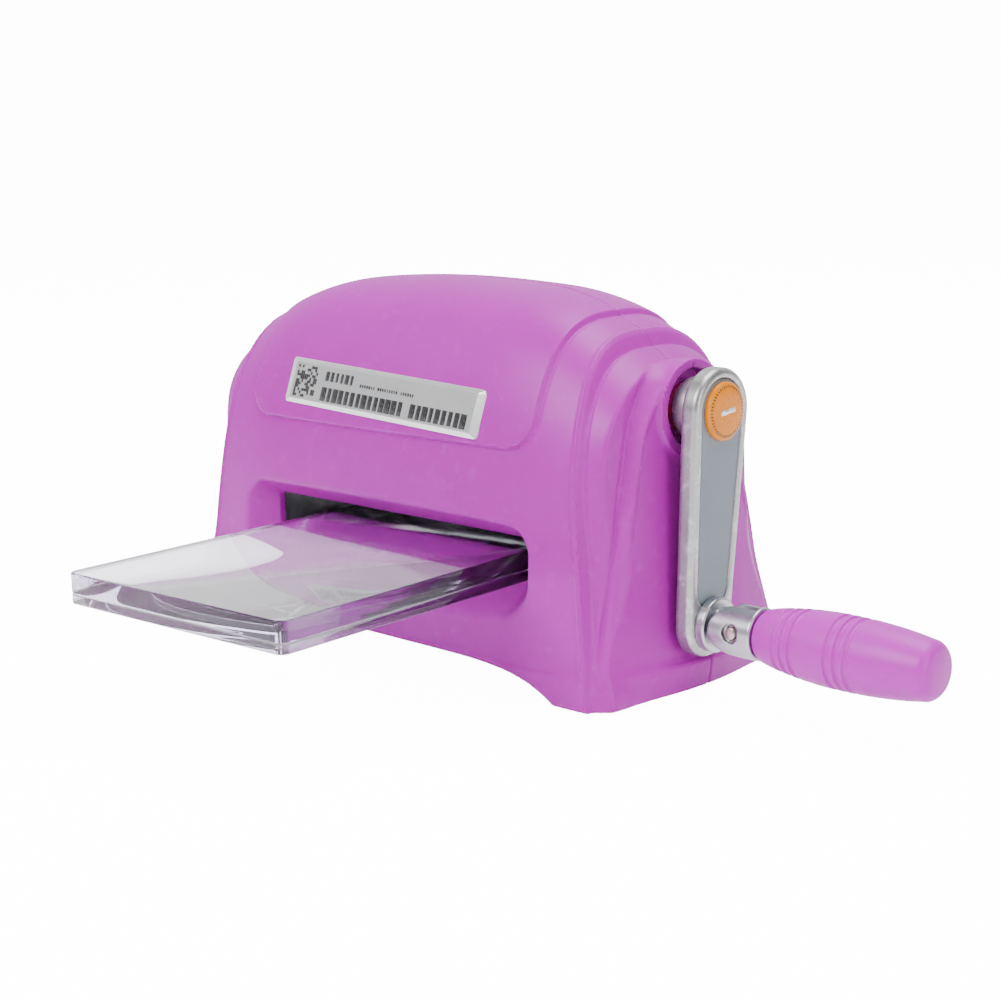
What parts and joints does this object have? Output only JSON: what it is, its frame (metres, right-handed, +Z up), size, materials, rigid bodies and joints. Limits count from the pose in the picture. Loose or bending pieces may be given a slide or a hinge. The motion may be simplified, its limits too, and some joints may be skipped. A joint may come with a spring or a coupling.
{
  "type": "hand-cranked die cutting machine",
  "caption": "Small tabletop die cutting machine with a rounded case, a crank with a folding handle, geared rollers and clear plates in its feed slot.",
  "frame": {"origin": "middle of the case in plan, in the plane of the feet", "axes": "+X along the case towards the crank, +Y from the front to the back, +Z up"},
  "size_m": [0.223, 0.1494, 0.095],
  "materials": {
    "case_plastic": "satin",
    "base_plastic": "matte",
    "label_plastic": "satin silver",
    "foot_rubber": "matte",
    "frame_steel": "zinc plated",
    "screw_steel": "blackened",
    "bush_brass": "machined",
    "roller_steel": "ground",
    "gear_steel": "machined",
    "crank_paint": "silver metallic",
    "inlay_plastic": "satin",
    "badge_resin": "glossy",
    "knuckle_zinc": "satin",
    "grip_plastic": "satin",
    "clear_acrylic": "polished"
  },
  "bodies": {
    "case": {"front_shell": "case_plastic", "rear_shell": "case_plastic", "base_plate": "base_plastic", "label_plate": "label_plastic", "foot_front_left": "foot_rubber", "foot_front_right": "foot_rubber", "foot_rear_left": "foot_rubber", "foot_rear_right": "foot_rubber", "case_screws": "screw_steel", "side_frame_left": "frame_steel", "side_frame_right": "frame_steel", "tie_rod_front_low": "frame_steel", "tie_rod_front_high": "frame_steel", "tie_rod_rear_low": "frame_steel", "tie_rod_rear_high": "frame_steel", "frame_screws_left": "screw_steel", "frame_screws_right": "screw_steel", "bush_upper_left": "bush_brass", "bush_upper_right": "bush_brass", "bush_lower_left": "bush_brass", "bush_lower_right": "bush_brass", "bush_crank_inner": "bush_brass", "bush_crank_outer": "bush_brass"},
    "crank": {"crank_shaft": "roller_steel", "pinion": "gear_steel", "crank_retaining_ring": "gear_steel", "crank_hub": "crank_paint", "crank_arm": "crank_paint", "arm_inlay": "inlay_plastic", "crank_badge": "badge_resin", "crank_screw": "screw_steel", "knuckle": "knuckle_zinc"},
    "upper_roller_set": {"upper_roller": "roller_steel", "upper_roller_gear": "gear_steel", "drive_gear": "gear_steel", "upper_retaining_ring": "gear_steel"},
    "lower_roller_set": {"lower_roller": "roller_steel", "lower_roller_gear": "gear_steel", "lower_retaining_ring": "gear_steel"},
    "handle": {"handle_sleeve": "knuckle_zinc", "knuckle_pin": "knuckle_zinc", "handle_spindle": "knuckle_zinc", "spindle_ring": "gear_steel"},
    "grip_handle": {"grip": "grip_plastic"},
    "plates": {"top_plate": "clear_acrylic", "bottom_plate": "clear_acrylic"}
  },
  "joints": [
    {"name": "crank_turn", "type": "hinge", "parent": "case", "child": "crank", "pos_m": [0.078, 0, 0.0669], "axis": [1, 0, 0], "continuous": true},
    {"name": "upper_roller_spin", "type": "hinge", "parent": "case", "child": "upper_roller_set", "pos_m": [0, 0, 0.0434], "axis": [1, 0, 0], "continuous": true},
    {"name": "lower_roller_spin", "type": "hinge", "parent": "case", "child": "lower_roller_set", "pos_m": [0, 0, 0.0184], "axis": [1, 0, 0], "continuous": true},
    {"name": "handle_fold", "type": "hinge", "parent": "crank", "child": "handle", "pos_m": [0.0925, -0.00433, 0.01739], "axis": [0, -0.9962, 0.0872], "range_deg": [0, 90]},
    {"name": "grip_spin", "type": "hinge", "parent": "handle", "child": "grip_handle", "pos_m": [0.12, -0.00433, 0.01739], "axis": [1, 0, 0], "continuous": true},
    {"name": "plates_slide", "type": "slide", "parent": "case", "child": "plates", "axis": [-0.061, 0.9981, 0], "range_m": [-0.018, 0.108]}
  ],
  "couplings": [
    {"joint": "upper_roller_spin", "follows": "crank_turn", "ratio": -0.38235},
    {"joint": "lower_roller_spin", "follows": "crank_turn", "ratio": 0.38235}
  ]
}
